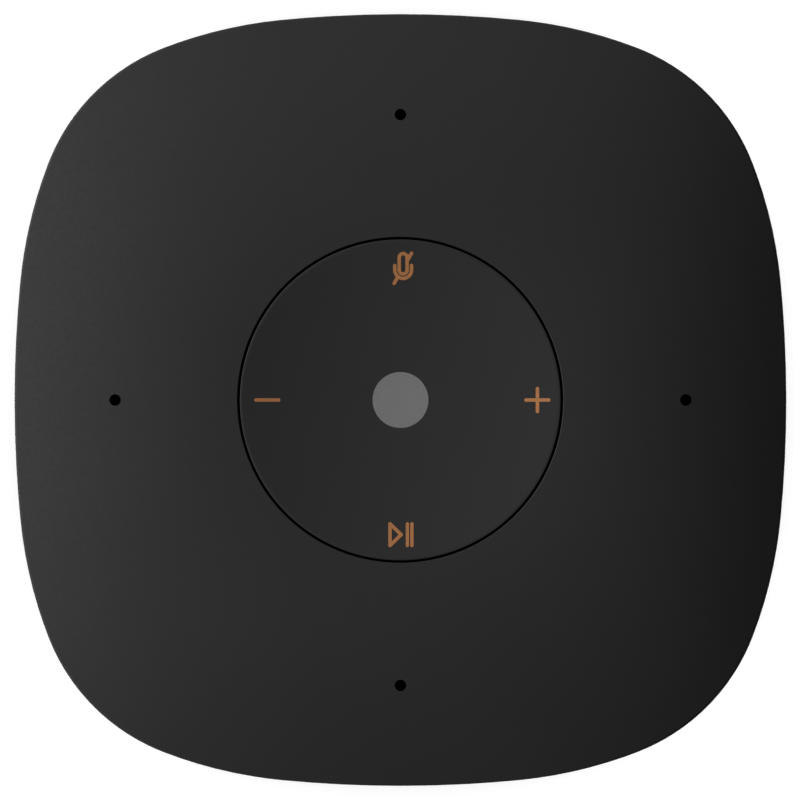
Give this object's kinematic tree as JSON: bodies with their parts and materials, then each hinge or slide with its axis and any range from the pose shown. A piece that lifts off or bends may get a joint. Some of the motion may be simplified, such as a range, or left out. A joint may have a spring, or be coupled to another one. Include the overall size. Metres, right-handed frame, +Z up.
{
  "type": "smart home hub",
  "caption": "Rounded-square voice hub with a domed cover, a dished rocking control disc, microphone ports, a perforated side grille and rear sockets.",
  "frame": {"origin": "middle of the surface the hub stands on, under the middle of the control disc", "axes": "+Z up; the front, with the play/pause icon, faces -Y; +Y points out of the rear ports; +X is to the right seen from the front, where the plus icon is"},
  "size_m": [0.1, 0.1, 0.048],
  "materials": {
    "cover_plastic": "fine satin texture",
    "disc_plastic": "fine satin texture",
    "copper_inlay": "satin copper",
    "light_diffuser": "satin translucent grey",
    "grille_plastic": "satin",
    "acoustic_cloth": "fine black mesh",
    "base_plastic": "satin",
    "port_plastic": "satin",
    "socket_plastic": "semi gloss",
    "rubber": "matte",
    "silicone": "translucent silicone",
    "steel": "zinc plated",
    "black_steel": "black oxide",
    "ballast_iron": "galvanised",
    "gold_contact": "gold plated",
    "circuit_board": "solder mask",
    "chip_black": "moulded epoxy",
    "inner_plastic": "matte",
    "white_plastic": "satin",
    "magnet_ferrite": "ferrite",
    "paper_cone": "coated paper",
    "coil_former": "wound copper on a former",
    "heat_aluminium": "satin",
    "thermal_silicone": "soft pad",
    "cable_white": "flat cable",
    "wire_pvc": "insulation"
  },
  "bodies": {
    "housing": {"top_cover": "cover_plastic", "mic_dust_meshes": "acoustic_cloth", "light_shroud": "inner_plastic", "status_led": "white_plastic", "key_frame": "inner_plastic", "mute_dome": "silicone", "play_pause_dome": "silicone", "volume_down_dome": "silicone", "volume_up_dome": "silicone", "top_board": "circuit_board", "microphones": "gold_contact", "mic_gaskets": "rubber", "cover_screws": "steel", "main_board": "circuit_board", "main_board_screws": "steel", "processor_shield": "steel", "thermal_pad": "thermal_silicone", "heat_spreader": "heat_aluminium", "radio_antennas": "gold_contact", "board_components": "chip_black", "ribbon_cable": "cable_white", "ribbon_sockets": "white_plastic", "speaker_box_tub": "inner_plastic", "speaker_box_lid": "inner_plastic", "driver_basket": "black_steel", "driver_gasket": "rubber", "driver_top_plate": "steel", "driver_magnet": "magnet_ferrite", "driver_pole_piece": "steel", "driver_screws": "black_steel", "driver_terminals": "white_plastic", "cone_surround": "rubber", "cone_spider": "acoustic_cloth", "speaker_wires": "wire_pvc", "wire_grommet": "rubber", "speaker_socket": "white_plastic", "grille_shell": "grille_plastic", "grille_cloth": "acoustic_cloth", "base_plate": "base_plastic", "foot_ring": "rubber", "case_screws": "black_steel", "ballast_ring": "ballast_iron", "rear_port_panel": "port_plastic", "ethernet_jack": "socket_plastic", "ethernet_contacts": "gold_contact", "ethernet_lights": "light_diffuser", "usb_c_socket": "steel", "reset_switch": "socket_plastic"},
    "gimbal": {"gimbal_ring": "inner_plastic"},
    "rocker_disc": {"control_disc": "disc_plastic", "light_lens": "light_diffuser", "mute_icon": "copper_inlay", "play_pause_icon": "copper_inlay", "volume_down_icon": "copper_inlay", "volume_up_icon": "copper_inlay"},
    "reset_key": {"reset_button": "port_plastic"},
    "driver_cone": {"speaker_cone": "paper_cone", "dust_cap": "paper_cone", "voice_coil": "coil_former"}
  },
  "joints": [
    {"name": "rock_front_back", "type": "hinge", "parent": "housing", "child": "gimbal", "pos_m": [0, 0, 0.0429], "axis": [1, 0, 0], "range_deg": [-1.5, 1.5], "stiffness_Nm_per_rad": 1.2, "deforming": ["mute_dome", "play_pause_dome"]},
    {"name": "rock_left_right", "type": "hinge", "parent": "gimbal", "child": "rocker_disc", "pos_m": [0, 0, 0.0429], "axis": [0, 1, 0], "range_deg": [-1.5, 1.5], "stiffness_Nm_per_rad": 1.2, "deforming": ["volume_down_dome", "volume_up_dome"]},
    {"name": "reset_press", "type": "slide", "parent": "housing", "child": "reset_key", "axis": [0, -1, 0], "range_m": [0, 0.0005], "stiffness_N_per_m": 2000},
    {"name": "cone_stroke", "type": "slide", "parent": "housing", "child": "driver_cone", "axis": [0, 0, 1], "range_m": [-0.0015, 0.0015], "stiffness_N_per_m": 1500, "deforming": ["cone_surround", "cone_spider"]}
  ]
}
